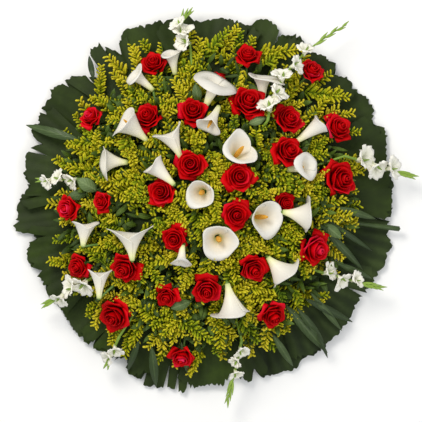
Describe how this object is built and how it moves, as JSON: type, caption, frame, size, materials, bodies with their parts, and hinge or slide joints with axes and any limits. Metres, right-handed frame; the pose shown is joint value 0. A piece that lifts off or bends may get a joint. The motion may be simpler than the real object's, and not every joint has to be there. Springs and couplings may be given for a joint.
{
  "type": "funeral wreath",
  "caption": "Round funeral wreath lying on its back: a collar of pleated palm leaves round a dome of goldenrod set with red roses, white callas and white gladioli.",
  "frame": {"origin": "centre of the back board's underside, on the surface that the wreath lies on", "axes": "+Z out of the face of the wreath, +Y to its top, +X to its right as seen from the front"},
  "size_m": [1.0152, 1.0018, 0.2255],
  "materials": {
    "hardboard": "plain brown hardboard, matt",
    "straw": "dry bound straw, matt",
    "goldenrod": "fine yellow-green flower sprays over dark green foliage, matt",
    "palm_leaf": "dark green pleated leaf with a waxy sheen",
    "rose": "velvety deep red petals",
    "calla": "smooth ivory white petal, soft sheen, with an orange-yellow spadix",
    "gladiolus": "thin ruffled white petals on green bracts and stems"
  },
  "bodies": {
    "root": {"back_board": "hardboard", "straw_pad": "straw", "goldenrod_bed": "goldenrod", "palm_leaf_01": "palm_leaf", "palm_leaf_02": "palm_leaf", "palm_leaf_03": "palm_leaf", "palm_leaf_04": "palm_leaf", "palm_leaf_05": "palm_leaf", "palm_leaf_06": "palm_leaf", "palm_leaf_07": "palm_leaf", "palm_leaf_08": "palm_leaf", "palm_leaf_09": "palm_leaf", "palm_leaf_10": "palm_leaf", "palm_leaf_11": "palm_leaf", "palm_leaf_12": "palm_leaf", "palm_leaf_13": "palm_leaf", "palm_leaf_14": "palm_leaf", "palm_leaf_15": "palm_leaf", "palm_leaf_16": "palm_leaf", "palm_leaf_17": "palm_leaf", "palm_leaf_18": "palm_leaf", "rose_pick_01": "rose", "rose_pick_02": "rose", "rose_pick_03": "rose", "rose_pick_04": "rose", "rose_pick_05": "rose", "rose_pick_06": "rose", "rose_pick_07": "rose", "rose_pick_08": "rose", "rose_pick_09": "rose", "rose_pick_10": "rose", "rose_pick_11": "rose", "rose_pick_12": "rose", "rose_pick_13": "rose", "rose_pick_14": "rose", "rose_pick_15": "rose", "rose_pick_16": "rose", "calla_pick_01": "calla", "calla_pick_02": "calla", "calla_pick_03": "calla", "calla_pick_04": "calla", "calla_pick_05": "calla", "calla_pick_06": "calla", "calla_pick_07": "calla", "calla_pick_08": "calla", "calla_pick_09": "calla", "calla_pick_10": "calla", "calla_pick_11": "calla", "calla_pick_12": "calla", "calla_pick_13": "calla", "calla_pick_14": "calla", "calla_pick_15": "calla", "gladiolus_spike_1": "gladiolus", "gladiolus_spike_2": "gladiolus", "gladiolus_spike_3": "gladiolus", "gladiolus_spike_4": "gladiolus", "gladiolus_spike_5": "gladiolus", "gladiolus_spike_6": "gladiolus", "gladiolus_spike_7": "gladiolus", "gladiolus_spike_8": "gladiolus"}
  },
  "joints": []
}
